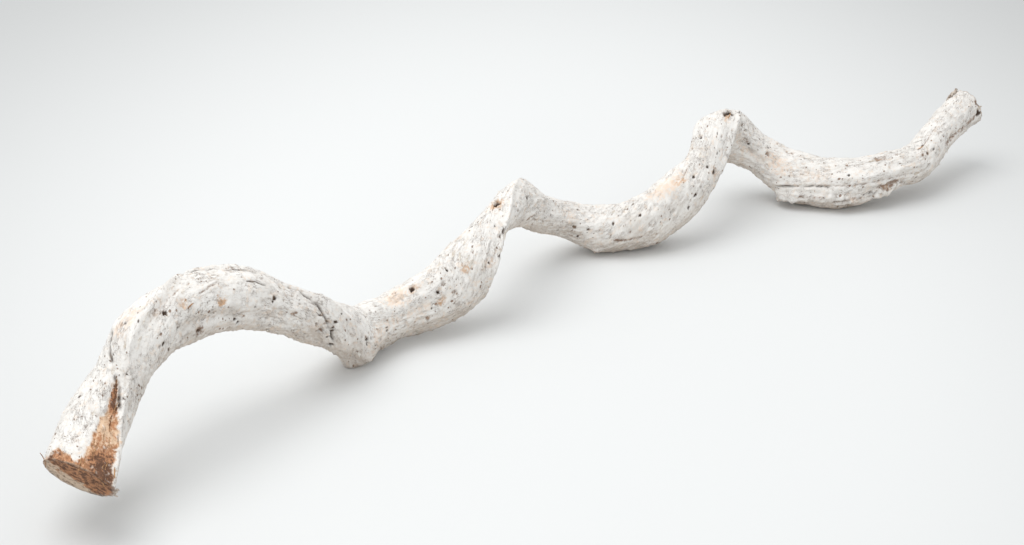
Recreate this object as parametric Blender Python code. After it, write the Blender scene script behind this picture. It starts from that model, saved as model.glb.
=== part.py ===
"""A dry, twisted root: one piece of bleached wood, coiled like a loose corkscrew, lying on a flat surface.

The root is a loft. Its centre line runs through a list of stations, each with the size and the turn of the
section there, and spiral ridges, grooves and knots are laid on that loft in terms of the station number and
the direction round the section. Metres, +Z up, +X along the root from its thick sawn end to its thin end.
"""

import math
from typing import NamedTuple

import bmesh
import bpy
import numpy as np

# Driving dimensions.
SPAN = 1.0  # sawn end to thin end, straight across
RINGS = 150  # sections along the root
SIDES = 22  # points round each section
SQUARENESS = 2.3  # exponent of the section's superellipse; 2 is an ellipse

CUT_FACING = (-0.80, -0.31, -0.52)  # the way the slanting sawn face at the thick end looks
CUT_REACH = 0.08  # how far from that end the sections still lean towards the cut
WORN = 0.001  # how much is worn off the underside where the root touches the ground
WINDING = 1.2  # length of the centre line over SPAN
RIDGE_PEAK = 1.5  # how sharply a ridge comes to its crest; 1 is a plain wedge
RIDGE_END = 0.5  # share of its height a ridge still has where it ends

DEG = math.pi / 180


class Station(NamedTuple):
    """A section of the root: centre, width and thickness as shares of SPAN, and where its sharp edge points."""

    x: float
    y: float
    z: float
    wide: float
    thick: float
    edge: float  # degrees round the root: 0 faces the front (-Y), 90 up, 180 the back, 270 down


STATIONS = (
    Station(-0.498, -0.070, 0.047, 0.054, 0.045, 10),
    Station(-0.470, -0.041, 0.057, 0.047, 0.042, 20),
    Station(-0.436, -0.023, 0.079, 0.041, 0.038, 40),
    Station(-0.408, -0.014, 0.102, 0.043, 0.043, 70),
    Station(-0.363, 0.000, 0.105, 0.047, 0.044, 100),
    Station(-0.317, 0.003, 0.095, 0.045, 0.041, 105),
    Station(-0.277, 0.001, 0.073, 0.034, 0.031, 90),
    Station(-0.240, 0.005, 0.050, 0.042, 0.036, 30),
    Station(-0.210, 0.012, 0.029, 0.043, 0.040, -40),
    Station(-0.187, 0.016, 0.027, 0.038, 0.034, -65),
    Station(-0.160, 0.018, 0.027, 0.038, 0.032, -80),
    Station(-0.112, 0.011, 0.038, 0.048, 0.039, -70),
    Station(-0.087, 0.010, 0.058, 0.042, 0.034, -15),
    Station(-0.063, 0.016, 0.074, 0.031, 0.028, 25),
    Station(-0.038, 0.028, 0.077, 0.032, 0.027, 65),
    Station(-0.006, 0.045, 0.071, 0.037, 0.029, 95),
    Station(0.031, 0.055, 0.048, 0.031, 0.029, 120),
    Station(0.062, 0.055, 0.033, 0.032, 0.031, 145),
    Station(0.090, 0.041, 0.022, 0.045, 0.040, 190),
    Station(0.124, 0.019, 0.028, 0.047, 0.041, 250),
    Station(0.156, 0.011, 0.048, 0.042, 0.034, 300),
    Station(0.192, 0.019, 0.066, 0.030, 0.029, 345),
    Station(0.223, 0.035, 0.086, 0.037, 0.028, 380),
    Station(0.255, 0.050, 0.065, 0.043, 0.028, 440),
    Station(0.286, 0.034, 0.040, 0.032, 0.027, 465),
    Station(0.305, 0.000, 0.024, 0.045, 0.038, 490),
    Station(0.338, -0.035, 0.025, 0.044, 0.038, 525),
    Station(0.378, -0.050, 0.030, 0.040, 0.034, 540),
    Station(0.408, -0.055, 0.032, 0.036, 0.033, 550),
    Station(0.448, -0.047, 0.046, 0.031, 0.031, 560),
    Station(0.499, -0.038, 0.060, 0.033, 0.037, 570),
)


class Ridge(NamedTuple):
    """A ridge, or a groove where height is negative, that runs along the root between two stations."""

    name: str
    line: tuple  # (station number, degrees round the root) pairs, in order along the root
    height: float
    width: float  # half-width at the foot


RIDGES = (
    Ridge("sharp edge", tuple((i, s.edge) for i, s in enumerate(STATIONS)), 0.0045, 0.008),
)


class Knot(NamedTuple):
    """A rounded swelling, or a hollow where height is negative."""

    name: str
    station: float
    side: float  # degrees round the root
    height: float
    radius: float


KNOTS = (
    Knot("swelling by the sawn end", 1.5, 170, 0.003, 0.020),
    Knot("burl on the broad arch", 3.0, 100, 0.002, 0.014),
    Knot("heel under the first bend", 8.2, 276, 0.010, 0.009),
    Knot("rest under the second bend", 18.2, 265, 0.002, 0.016),
    Knot("rest under the third bend", 25.8, 284, 0.005, 0.016),
)


def smooth_run(values, count):
    """Reads a Catmull-Rom curve through values at count even steps of the station number."""
    values = np.asarray(values, float)
    padded = np.vstack([2 * values[0] - values[1], values, 2 * values[-1] - values[-2]])
    at = np.linspace(0, len(values) - 1, count)
    i = np.minimum(at.astype(int), len(values) - 2)
    t = (at - i)[:, None]
    p0, p1, p2, p3 = (padded[i + k] for k in range(4))
    return 0.5 * (
        2 * p1
        + (p2 - p0) * t
        + (2 * p0 - 5 * p1 + 4 * p2 - p3) * t**2
        + (3 * p1 - p0 - 3 * p2 + p3) * t**3
    )


def section_frames(centres):
    """The front-facing and the upward direction of each section, both square to the centre line."""
    tangents = np.gradient(centres, axis=0)
    tangents /= np.linalg.norm(tangents, axis=1, keepdims=True)
    front = np.cross(tangents, (0.0, 0.0, 1.0))
    front /= np.linalg.norm(front, axis=1, keepdims=True)
    return front, np.cross(front, tangents)


def angle_between(a, b):
    """a - b, brought to between -pi and pi."""
    return (a - b + math.pi) % (2 * math.pi) - math.pi


def radii(numbers, sizes, angles):
    """Distance from the centre line to the surface, for every section and every direction round it."""
    wide, thick, edge = (sizes[:, k, None] for k in range(3))
    turned = angles - edge * DEG
    radius = (
        np.abs(np.cos(turned) / (wide / 2)) ** SQUARENESS
        + np.abs(np.sin(turned) / (thick / 2)) ** SQUARENESS
    ) ** (-1 / SQUARENESS)
    base = radius.copy()
    for ridge in RIDGES:
        along, around = np.array(ridge.line, float).T
        centre = np.interp(numbers, along, around)[:, None] * DEG
        fade = np.clip(np.minimum(numbers - along[0], along[-1] - numbers) + RIDGE_END, 0, 1)
        across = np.abs(angle_between(angles, centre)) * base / ridge.width
        radius += ridge.height * fade[:, None] * np.clip(1 - across, 0, 1) ** RIDGE_PEAK
    spacing = SPAN * WINDING / (len(STATIONS) - 1)
    for knot in KNOTS:
        along = (numbers[:, None] - knot.station) * spacing
        across = angle_between(angles, knot.side * DEG) * base
        radius += knot.height * np.exp(-(along**2 + across**2) / knot.radius**2)
    return radius


def root_surface():
    """Rings of points on the root, one ring for each section."""
    numbers = np.linspace(0, len(STATIONS) - 1, RINGS)
    run = smooth_run(STATIONS, RINGS)
    centres = run[:, :3] * SPAN
    front, up = section_frames(centres)
    angles = run[:, 5:] * DEG + np.arange(SIDES) * 2 * math.pi / SIDES
    radius = radii(numbers, run[:, 3:] * (SPAN, SPAN, 1), angles)
    across = np.cos(angles)[:, :, None] * front[:, None, :]
    upward = np.sin(angles)[:, :, None] * up[:, None, :]
    points = centres[:, None, :] + radius[:, :, None] * (across + upward)
    return rested(slant_cut(points, centres))


def slant_cut(points, centres):
    """Leans the first rings until the very first lies in the slanting sawn face."""
    along = (centres[1] - centres[0]) / np.linalg.norm(centres[1] - centres[0])
    facing = np.array(CUT_FACING) / np.linalg.norm(CUT_FACING)
    slide = (centres[0] - points[0]) @ facing / (along @ facing)
    steps = np.linalg.norm(np.diff(centres, axis=0), axis=1)
    travelled = np.concatenate(([0], np.cumsum(steps)))
    lean = np.clip(1 - travelled / CUT_REACH, 0, 1)
    return points + lean[:, None, None] * slide[None, :, None] * along


def rested(points):
    """Stands the root on z = 0, its lowest places worn flat, with the middle of its outline over the origin."""
    points[..., 2] = np.maximum(points[..., 2] - WORN, 0)
    low, high = points[..., :2].min((0, 1)), points[..., :2].max((0, 1))
    points[..., :2] -= (low + high) / 2
    return points


def loft(name, rings, collection):
    """A closed mesh object through the rings, with a flat cap on each end."""
    mesh = bmesh.new()
    rows = [[mesh.verts.new(point) for point in ring] for ring in rings]
    for row, following in zip(rows, rows[1:]):
        for i in range(len(row)):
            j = (i + 1) % len(row)
            mesh.faces.new((row[i], row[j], following[j], following[i]))
    mesh.faces.new(rows[0][::-1])
    mesh.faces.new(rows[-1])
    bmesh.ops.recalc_face_normals(mesh, faces=mesh.faces)
    data = bpy.data.meshes.new(name)
    mesh.to_mesh(data)
    mesh.free()
    made = bpy.data.objects.new(name, data)
    collection.objects.link(made)
    return made


def limed_wood():
    """The matt, whitewashed wood."""
    material = bpy.data.materials.new("limed_wood")
    material.use_nodes = True
    surface = material.node_tree.nodes["Principled BSDF"]
    surface.inputs["Base Color"].default_value = (0.60, 0.57, 0.52, 1)
    surface.inputs["Roughness"].default_value = 0.85
    surface.inputs["Metallic"].default_value = 0.0
    return material


def main():
    for obj in list(bpy.data.objects):
        bpy.data.objects.remove(obj)
    collection = bpy.data.collections.new("dry_root")
    bpy.context.scene.collection.children.link(collection)
    root = loft("dry_root", root_surface(), collection)
    root.data.materials.append(limed_wood())
    root.data.shade_smooth()


main()
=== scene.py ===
"""A dry, twisted root with a coat of whitewash, lying on a pale studio floor.

The root is one strand of wood coiled like a loose corkscrew. Its centre line and sections are the ones the
solid is lofted through; here the same form gets its bark: cords and fissures that follow the twist, insect
holes, worn and rusty patches, the torn wood at the sawn end, loose scraps of bark and a broken twig.
Metres, +Z up, +X along the root from its thick sawn end to its thin end.
"""

import logging
import math
from dataclasses import dataclass, field
from enum import Enum

import bpy
import numpy as np
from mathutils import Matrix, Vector


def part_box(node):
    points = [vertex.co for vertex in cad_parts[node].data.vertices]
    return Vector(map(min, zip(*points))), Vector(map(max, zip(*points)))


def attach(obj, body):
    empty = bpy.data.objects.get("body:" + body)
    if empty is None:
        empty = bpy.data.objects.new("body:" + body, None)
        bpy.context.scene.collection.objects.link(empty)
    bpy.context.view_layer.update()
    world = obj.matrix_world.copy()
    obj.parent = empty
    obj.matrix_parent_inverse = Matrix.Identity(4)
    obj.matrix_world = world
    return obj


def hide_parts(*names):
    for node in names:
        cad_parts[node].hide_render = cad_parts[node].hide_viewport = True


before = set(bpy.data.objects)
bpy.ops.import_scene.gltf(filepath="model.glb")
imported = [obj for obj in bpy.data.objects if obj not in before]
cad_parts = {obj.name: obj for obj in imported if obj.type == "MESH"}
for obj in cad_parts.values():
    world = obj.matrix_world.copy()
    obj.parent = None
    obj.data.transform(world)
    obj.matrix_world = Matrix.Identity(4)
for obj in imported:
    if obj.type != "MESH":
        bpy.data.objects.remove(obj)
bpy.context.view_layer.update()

LOG = logging.getLogger("dry_root")
DEG = math.pi / 180
BODY = "root"
CAD_NODE = "dry_root"

Colour = tuple[float, float, float]
Triple = tuple[float, float, float]
Line = tuple[tuple[float, float], ...]
Socket = bpy.types.NodeSocket


class Tint(Enum):
    """The masks that the wood's finish mixes its colours by."""

    PEACH = "peach"  # whitewash stained by the wood's sap
    RUST = "rust"  # bare orange wood
    BROWN = "brown"  # weathered bark showing through
    DARK = "dark"  # the inside of holes and cracks
    PAINT = "paint"  # a thicker coat of whitewash


class Profile(Enum):
    """The shape of a mark across its line."""

    ROUND = "round"
    SHARP = "sharp"
    STEP = "step"


@dataclass(frozen=True)
class Station:
    """A section of the root: centre, width and thickness in metres, and where its sharp edge points."""

    x: float
    y: float
    z: float
    wide: float
    thick: float
    edge: float  # degrees round the root: 0 faces the front (-Y), 90 up, 180 the back, 270 down

    def row(self) -> list[float]:
        """The six values in order."""
        return [self.x, self.y, self.z, self.wide, self.thick, self.edge]


@dataclass(frozen=True)
class Knot:
    """A rounded swelling of the solid form."""

    name: str
    station: float
    side: float
    height: float
    radius: float


@dataclass(frozen=True)
class Strand:
    """A mark that runs along the root through (station number, degrees round the root) points."""

    name: str
    line: Line
    height: float  # metres, negative for a groove
    width: float  # half-width in metres
    profile: Profile = Profile.ROUND
    tint: Tint | None = None
    strength: float = 1.0  # of its tint
    ragged: float = 0.3  # how much its width and height wander


@dataclass(frozen=True)
class Spot:
    """A round mark: a hole, a wart or a stain."""

    name: str
    station: float
    side: float
    radius: float
    height: float = 0.0
    tint: Tint | None = None
    strength: float = 1.0  # of its tint
    stretch: float = 1.0  # length along the root over width


STATIONS = (
    Station(-0.498, -0.070, 0.047, 0.054, 0.045, 10),
    Station(-0.470, -0.041, 0.057, 0.047, 0.042, 20),
    Station(-0.436, -0.023, 0.079, 0.041, 0.038, 40),
    Station(-0.408, -0.014, 0.102, 0.043, 0.043, 70),
    Station(-0.363, 0.000, 0.105, 0.047, 0.044, 100),
    Station(-0.317, 0.003, 0.095, 0.045, 0.041, 105),
    Station(-0.277, 0.001, 0.073, 0.034, 0.031, 90),
    Station(-0.240, 0.005, 0.050, 0.042, 0.036, 30),
    Station(-0.210, 0.012, 0.029, 0.043, 0.040, -40),
    Station(-0.187, 0.016, 0.027, 0.038, 0.034, -65),
    Station(-0.160, 0.018, 0.027, 0.038, 0.032, -80),
    Station(-0.112, 0.011, 0.038, 0.048, 0.039, -70),
    Station(-0.087, 0.010, 0.058, 0.042, 0.034, -15),
    Station(-0.063, 0.016, 0.074, 0.031, 0.028, 25),
    Station(-0.038, 0.028, 0.077, 0.032, 0.027, 65),
    Station(-0.006, 0.045, 0.071, 0.037, 0.029, 95),
    Station(0.031, 0.055, 0.048, 0.031, 0.029, 120),
    Station(0.062, 0.055, 0.033, 0.032, 0.031, 145),
    Station(0.090, 0.041, 0.022, 0.045, 0.040, 190),
    Station(0.124, 0.019, 0.028, 0.047, 0.041, 250),
    Station(0.156, 0.011, 0.048, 0.042, 0.034, 300),
    Station(0.192, 0.019, 0.066, 0.030, 0.029, 345),
    Station(0.223, 0.035, 0.086, 0.037, 0.028, 380),
    Station(0.255, 0.050, 0.065, 0.043, 0.028, 440),
    Station(0.286, 0.034, 0.040, 0.032, 0.027, 465),
    Station(0.305, 0.000, 0.024, 0.045, 0.038, 490),
    Station(0.338, -0.035, 0.025, 0.044, 0.038, 525),
    Station(0.378, -0.050, 0.030, 0.040, 0.034, 540),
    Station(0.408, -0.055, 0.032, 0.036, 0.033, 550),
    Station(0.448, -0.047, 0.046, 0.031, 0.031, 560),
    Station(0.499, -0.038, 0.060, 0.033, 0.037, 570),
)

KNOTS = (
    Knot("swelling by the sawn end", 1.5, 170, 0.003, 0.020),
    Knot("burl on the broad arch", 3.0, 100, 0.002, 0.014),
    Knot("heel under the first bend", 8.2, 276, 0.010, 0.009),
    Knot("rest under the second bend", 18.2, 265, 0.002, 0.016),
    Knot("rest under the third bend", 25.8, 284, 0.005, 0.016),
)

STRANDS = (
    Strand("crease above the torn wood", ((2.78, 122), (2.57, 104), (2.40, 95), (2.25, 86), (1.95, 72)),
           -0.0020, 0.0026, Profile.SHARP, Tint.DARK, 0.7, 1.0),
    Strand("crack at the head of the torn wood", ((1.95, 72), (1.86, 60), (1.73, 47), (1.55, 37), (1.38, 33)),
           -0.0026, 0.0030, Profile.SHARP, Tint.DARK, 0.9, 0.7),
    Strand("crack beside the torn wood", ((1.30, 40), (1.08, 31), (0.83, 24), (0.60, 19)),
           -0.0010, 0.0013, Profile.SHARP, Tint.BROWN, 0.7, 0.5),
    Strand("lip beside the crease", ((2.9, 92), (2.7, 84), (2.3, 66), (1.9, 50)), 0.0006, 0.0040),
    Strand("crack in the pale face", ((1.35, 82), (1.15, 76), (0.90, 80), (0.65, 88), (0.45, 106)),
           -0.0009, 0.0012, Profile.SHARP, Tint.BROWN, 0.6, 0.8),
    Strand("overlap at the foot of the broad arch", ((5.7, 92), (6.05, 80), (6.4, 47), (6.6, 12), (7.1, -42)),
           -0.0026, 0.0026, Profile.SHARP, Tint.DARK, 0.72, 0.9),
    Strand("swell beyond the overlap", ((6.35, 78), (6.7, 44), (6.9, 10), (7.3, -35)), 0.0014, 0.0060),
    Strand("fissure on top of the broad arch", ((3.9, 100), (4.4, 99), (4.8, 96), (5.3, 92)),
           -0.0011, 0.0014, Profile.SHARP, Tint.DARK, 0.7),
    Strand("short fissure on the broad arch", ((4.85, 63), (5.05, 61), (5.3, 62)),
           -0.0012, 0.0014, Profile.SHARP, Tint.DARK, 0.8),
    Strand("fissure over the orange stain", ((3.76, 48), (3.89, 49), (4.06, 51), (4.26, 57), (4.40, 62)),
           -0.0012, 0.0013, Profile.SHARP, Tint.BROWN, 0.8),
    Strand("fissure down the broad arch", ((3.3, 66), (3.6, 70), (4.0, 76)),
           -0.0009, 0.0013, Profile.SHARP, Tint.BROWN, 0.6),
    Strand("hollow below the broad arch", ((3.2, 10), (4.0, -2), (5.0, -8), (5.8, -15)),
           -0.0022, 0.0060, Profile.ROUND, Tint.BROWN, 0.2),
    Strand("seam along the foot of the rise", ((8.5, 108), (9.07, 103), (9.6, 98), (10.0, 96)),
           -0.0011, 0.0026, Profile.ROUND, Tint.BROWN, 0.42, 0.8),
    Strand("warm band along the rise", ((8.5, 16), (9.3, 15), (9.8, 15), (10.26, 16), (10.6, 18)),
           -0.0006, 0.0085, Profile.ROUND, Tint.PEACH, 0.42),
    Strand("crest of the second bend",
           ((11.8, -24), (12.2, -7), (12.6, 9), (13.0, 25), (13.5, 45), (14.0, 65)),
           0.0014, 0.0032, Profile.SHARP, Tint.PAINT, 1.0, 0.15),
    Strand("groove beside the crest", ((12.2, -24), (12.6, -8), (13.0, 8), (13.4, 26)),
           -0.0020, 0.0028, Profile.ROUND, Tint.BROWN, 0.3),
    Strand("crack in the crest of the second bend", ((13.02, 26), (12.85, 23), (12.68, 20)),
           -0.0016, 0.0015, Profile.SHARP, Tint.DARK, 0.95, 0.3),
    Strand("wrinkle under the second bend", ((14.75, -46), (14.97, -33), (15.2, -22)),
           -0.0014, 0.0018, Profile.SHARP, Tint.BROWN, 0.9),
    Strand("second wrinkle under the second bend", ((15.1, -42), (15.48, -30), (15.9, -17)),
           -0.0010, 0.0016, Profile.ROUND, Tint.BROWN, 0.4),
    Strand("ring of the small knot", ((14.95, 2), (15.13, 28), (15.62, 55), (16.0, 62), (16.2, 40)),
           0.0012, 0.0028),
    Strand("seam in the second trough", ((18.2, -6), (18.43, -8), (18.62, -10), (18.8, -13)),
           -0.0014, 0.0015, Profile.SHARP, Tint.BROWN, 1.0, 0.6),
    Strand("curl in the second trough", ((20.08, 68), (20.26, 80), (20.50, 88)),
           -0.0008, 0.0012, Profile.SHARP, Tint.BROWN, 0.9, 0.6),
    Strand("crest of the third bend", ((20.8, -21), (21.2, -8), (21.6, 6), (22.0, 20), (22.4, 44)),
           0.0014, 0.0030, Profile.SHARP, Tint.PAINT, 0.8, 0.12),
    # Partly painted highlight: the lit face of the third bend is made whiter, and smoother, by the thick-coat
    # mask.
    Strand("bright face of the third bend", ((21.0, 14), (21.4, 36), (21.8, 52)),
           0.0, 0.0080, Profile.ROUND, Tint.PAINT, 0.9),
    Strand("crack on top of the third bend", ((21.98, 64), (22.08, 55), (22.15, 46), (22.18, 38)),
           -0.0034, 0.0036, Profile.SHARP, Tint.DARK, 1.0, 0.6),
    Strand("slit behind the third bend", ((22.25, 38), (22.45, 46), (22.70, 48), (22.97, 42)),
           -0.0022, 0.0019, Profile.SHARP, Tint.DARK, 1.0),
    Strand("hollow behind the third bend", ((22.7, 10), (23.2, 4), (23.7, 6), (24.2, 12)),
           -0.0018, 0.0070, Profile.ROUND, Tint.PEACH, 0.36),
    Strand("crack over the ledge", ((24.60, -28), (24.81, -9), (25.0, 1), (25.28, 10), (25.5, 9), (25.66, 2)),
           -0.0030, 0.0019, Profile.SHARP, Tint.DARK, 0.66, 0.7),
    Strand("crack past the ledge", ((26.05, -16), (26.22, -17), (26.42, -21)),
           -0.0016, 0.0015, Profile.SHARP, Tint.DARK, 0.8, 0.8),
    Strand("second crack on the ledge", ((25.0, -22), (25.3, -14), (25.6, -18)),
           -0.0018, 0.0024, Profile.SHARP, Tint.BROWN, 0.8, 1.0),
    Strand("third crack on the ledge", ((25.5, -26), (25.9, -20), (26.4, -24)),
           -0.0016, 0.0022, Profile.SHARP, Tint.BROWN, 0.75, 1.0),
    Strand("ragged ledge", ((24.75, -42), (25.05, -26), (25.5, -22), (25.9, -28), (26.3, -30), (26.8, -34)),
           0.0034, 0.0058, Profile.STEP, Tint.PAINT, 0.2, 0.5),
    Strand("peeled edge", ((26.3, -4), (26.46, -7), (26.61, -8), (26.9, -10)),
           -0.0018, 0.0034, Profile.ROUND, Tint.BROWN, 0.8, 0.9),
    Strand("long ridge above the ledge", ((25.4, 30), (26.0, 28), (26.8, 26), (27.6, 20), (28.2, 14)),
           0.0016, 0.0044, Profile.SHARP),
    Strand("seam under the long ridge", ((25.3, 12), (26.0, 12), (26.8, 8), (27.6, 0)),
           -0.0012, 0.0018, Profile.SHARP, Tint.BROWN, 0.6),
    Strand("seam in the last rise", ((27.9, 70), (28.4, 78), (29.0, 84), (29.6, 90)),
           -0.0010, 0.0016, Profile.SHARP, Tint.BROWN, 0.5),
    Strand("crack before the last rise", ((28.26, 118), (28.33, 108), (28.40, 98)),
           -0.0016, 0.0018, Profile.SHARP, Tint.DARK, 0.9),
    Strand("brown edge of the last rise", ((28.6, 12), (29.12, 2), (29.54, -6), (30.0, -4)),
           -0.0012, 0.0046, Profile.ROUND, Tint.BROWN, 0.72, 1.0),
    Strand("broken corner of the thin end", ((29.80, -18), (29.90, -2), (29.97, 18), (29.98, 40)),
           -0.0014, 0.0034, Profile.ROUND, Tint.BROWN, 1.0, 1.2),
)

SPOTS = (
    Spot("peach patch by the burl", 2.86, 93, 0.0065, 0.0, Tint.PEACH, 0.55, 1.4),
    Spot("brown patch on the broad arch", 3.58, 46, 0.0043, -0.0008, Tint.RUST, 0.5),
    Spot("brown streak on the broad arch", 3.23, 61, 0.0035, -0.0008, Tint.BROWN, 0.4, 2.0),
    Spot("orange stain on the broad arch", 4.34, 23, 0.0051, -0.0006, Tint.RUST, 0.68, 0.8),
    Spot("scar under the broad arch", 3.78, -21, 0.0038, -0.0020, Tint.BROWN, 1.0, 1.5),
    Spot("hole in that scar", 3.80, -22, 0.0020, -0.0025, Tint.DARK, 0.8, 1.3),
    Spot("fleck under the broad arch", 4.18, -47, 0.0022, -0.0015, Tint.DARK, 0.8),
    Spot("hole in the grey scar", 3.27, 52, 0.0021, -0.0025, Tint.DARK, 0.95),
    Spot("pair of holes under the crown", 4.64, -18, 0.0018, -0.0022, Tint.DARK, 1.0),
    Spot("second of the pair", 4.72, -24, 0.0018, -0.0022, Tint.DARK, 1.0),
    Spot("hole past the crown", 5.42, 39, 0.0020, -0.0024, Tint.DARK, 1.0),
    Spot("fleck past the crown", 5.39, 29, 0.0014, -0.0015, Tint.DARK, 0.9),
    Spot("brown fleck on the crown", 4.75, 97, 0.0030, 0.0, Tint.BROWN, 0.5, 2.0),
    Spot("fleck at the crown's end", 5.89, 14, 0.0024, -0.0010, Tint.BROWN, 0.9, 1.5),
    Spot("stain inside the overlap", 6.35, 0, 0.0060, 0.0, Tint.RUST, 0.2, 1.5),
    Spot("hole above the heel", 7.07, -48, 0.0029, -0.0035, Tint.DARK, 1.0),
    Spot("fleck above that hole", 6.82, -28, 0.0015, -0.0015, Tint.DARK, 0.9),
    Spot("hole in the heel", 7.57, -74, 0.0020, -0.0020, Tint.DARK, 0.8),
    Spot("warm heel", 8.6, 5, 0.0093, 0.0, Tint.PEACH, 0.4, 1.3),
    Spot("peach patch on the rise", 9.97, 75, 0.0080, 0.0, Tint.PEACH, 0.8, 1.8),
    Spot("first hole on the rise", 10.34, 72, 0.0023, -0.0030, Tint.DARK, 1.0, 1.4),
    Spot("rim of the first hole", 10.36, 70, 0.0048, 0.0, Tint.RUST, 0.35, 1.3),
    Spot("second hole on the rise", 11.20, 69, 0.0018, -0.0030, Tint.DARK, 1.0),
    Spot("third hole on the rise", 10.69, 37, 0.0015, -0.0025, Tint.DARK, 1.0),
    Spot("fourth hole on the rise", 10.83, 48, 0.0019, -0.0020, Tint.BROWN, 0.8),
    Spot("hole low on the rise", 10.51, 4, 0.0014, -0.0018, Tint.DARK, 0.9),
    Spot("ochre fleck on the rise", 10.68, 13, 0.0034, -0.0006, Tint.RUST, 0.6, 1.3),
    Spot("rusty fleck low on the rise", 10.41, -17, 0.0024, -0.0006, Tint.BROWN, 0.8),
    Spot("orange stain on the rise", 11.65, 39, 0.0043, 0.0, Tint.RUST, 0.54, 1.2),
    Spot("brown flecks on the rise", 10.96, 17, 0.0020, -0.0010, Tint.BROWN, 0.7, 1.4),
    Spot("stain below the crest", 12.05, 4, 0.0045, -0.0004, Tint.RUST, 0.3, 1.3),
    Spot("hole in that stain", 12.05, 4, 0.0013, -0.0018, Tint.DARK, 1.0),
    Spot("big hole under the peak", 13.63, 90, 0.0032, -0.0045, Tint.DARK, 1.0, 1.3),
    Spot("rim of the big hole", 13.60, 88, 0.0064, 0.0, Tint.RUST, 0.58, 1.2),
    Spot("hole behind the peak", 14.66, 36, 0.0020, -0.0025, Tint.DARK, 1.0),
    Spot("fleck on the peak", 14.30, 85, 0.0014, -0.0015, Tint.DARK, 0.8),
    Spot("fleck past the peak", 15.19, 53, 0.0013, -0.0015, Tint.DARK, 0.8),
    Spot("small knot", 15.45, 20, 0.0075, 0.0014, Tint.BROWN, 0.25),
    Spot("pink patch past the knot", 16.5, 25, 0.0075, 0.0, Tint.PEACH, 0.4, 1.6),
    Spot("first fleck past the knot", 16.89, -5, 0.0019, -0.0012, Tint.DARK, 0.85, 1.8),
    Spot("second fleck past the knot", 17.21, -27, 0.0016, -0.0014, Tint.DARK, 0.9),
    Spot("third fleck past the knot", 17.40, 9, 0.0013, -0.0012, Tint.DARK, 0.8, 2.4),
    Spot("wart under the second bend", 17.85, -45, 0.0040, 0.0028, Tint.BROWN, 0.5),
    Spot("hole above the wart", 18.18, 33, 0.0019, -0.0022, Tint.DARK, 1.0),
    Spot("head of the trough seam", 18.24, -7, 0.0028, -0.0014, Tint.BROWN, 1.0),
    Spot("hole in the second trough", 18.82, 42, 0.0015, -0.0022, Tint.DARK, 1.0),
    Spot("peach patch in the second trough", 19.75, 79, 0.0080, 0.0, Tint.PEACH, 0.7, 2.4),
    Spot("rusty fleck in the second trough", 20.04, 71, 0.0038, -0.0008, Tint.RUST, 0.45, 1.5),
    Spot("knot hole under the third bend", 20.77, 4, 0.0032, -0.0040, Tint.DARK, 1.0),
    Spot("hole below the third bend", 20.32, 52, 0.0019, -0.0022, Tint.DARK, 0.9),
    Spot("fleck below the third bend", 20.71, 36, 0.0016, -0.0016, Tint.DARK, 0.9),
    Spot("fleck under the third bend", 20.07, 5, 0.0016, -0.0016, Tint.DARK, 0.8, 1.5),
    Spot("rim of the knot hole", 20.75, 4, 0.0064, 0.0, Tint.RUST, 0.36),
    Spot("rough top of the third bend", 22.12, 62, 0.0070, 0.0012, Tint.BROWN, 0.35),
    Spot("dark hollow on the third bend", 22.13, 47, 0.0032, -0.0034, Tint.DARK, 1.0, 0.8),
    Spot("orange fleck on the third bend", 21.95, 50, 0.0030, 0.0, Tint.RUST, 0.5),
    Spot("grey hollow past the third bend", 23.33, 31, 0.0026, -0.0014, Tint.BROWN, 0.7, 2.0),
    Spot("brown slit past the third bend", 24.52, 102, 0.0030, -0.0012, Tint.BROWN, 0.5, 2.5),
    Spot("warm side past the third bend", 24.4, 40, 0.0093, 0.0, Tint.PEACH, 0.5, 2.0),
    Spot("warm flank above the ledge", 25.3, 38, 0.0090, 0.0, Tint.PEACH, 0.32, 2.0),
    Spot("nodule where the ledge starts", 24.82, -40, 0.0056, 0.0034),
    Spot("second nodule of the ledge", 24.98, -33, 0.0036, 0.0026),
    Spot("third nodule of the ledge", 24.78, -52, 0.0034, 0.0022, Tint.BROWN, 0.4),
    Spot("small ringed hole", 25.89, 38, 0.0013, -0.0022, Tint.DARK, 1.0),
    Spot("white ring of that hole", 25.89, 38, 0.0036, 0.0006, Tint.PAINT, 0.9),
    Spot("brown patch on the last bend", 26.64, 81, 0.0055, -0.0010, Tint.BROWN, 0.7, 1.5),
    Spot("peeled patch", 26.62, -9, 0.0048, -0.0014, Tint.BROWN, 0.8, 2.2),
    Spot("peeled rust", 26.55, -11, 0.0030, 0.0, Tint.RUST, 0.25, 1.5),
    Spot("warm patch before the last rise", 27.95, 50, 0.0080, 0.0, Tint.RUST, 0.2, 1.4),
    Spot("hole before the last rise", 28.03, 44, 0.0019, -0.0022, Tint.DARK, 1.0),
    Spot("fleck before the last rise", 27.86, 46, 0.0018, -0.0012, Tint.BROWN, 0.9),
    Spot("brown rim of the thin end", 29.98, 34, 0.0042, -0.0010, Tint.BROWN, 1.0),
    Spot("dark chip in the rim", 29.93, -4, 0.0034, -0.0022, Tint.DARK, 0.75, 1.3),
    Spot("brown foot of the twig", 29.92, 130, 0.0050, 0.0010, Tint.BROWN, 0.9),
)

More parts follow.
